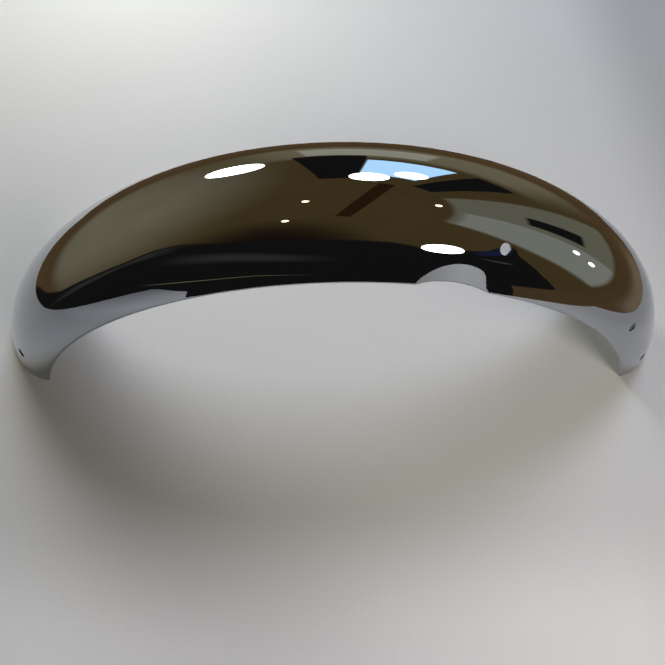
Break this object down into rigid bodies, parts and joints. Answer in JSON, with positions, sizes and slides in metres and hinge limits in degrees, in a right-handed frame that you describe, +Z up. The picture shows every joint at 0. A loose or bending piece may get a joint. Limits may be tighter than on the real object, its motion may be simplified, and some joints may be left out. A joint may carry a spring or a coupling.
{
  "type": "motorcycle front mudguard",
  "caption": "Chromed steel front mudguard: a domed blade curved round the wheel, its edge turned in, with a hollow for each fork leg and holes for brackets and stays.",
  "frame": {"origin": "midway between the two ends of the blade, on the surface that they stand on", "axes": "+X forward along the wheel, +Y across the wheel, +Z up from the ends to the crown; the wheel axle is parallel to Y, 125 mm below the origin"},
  "size_m": [0.6344, 0.1108, 0.216],
  "materials": {
    "chrome_plate": "mirror polished"
  },
  "bodies": {
    "root": {"mudguard": "chrome_plate"}
  },
  "joints": []
}
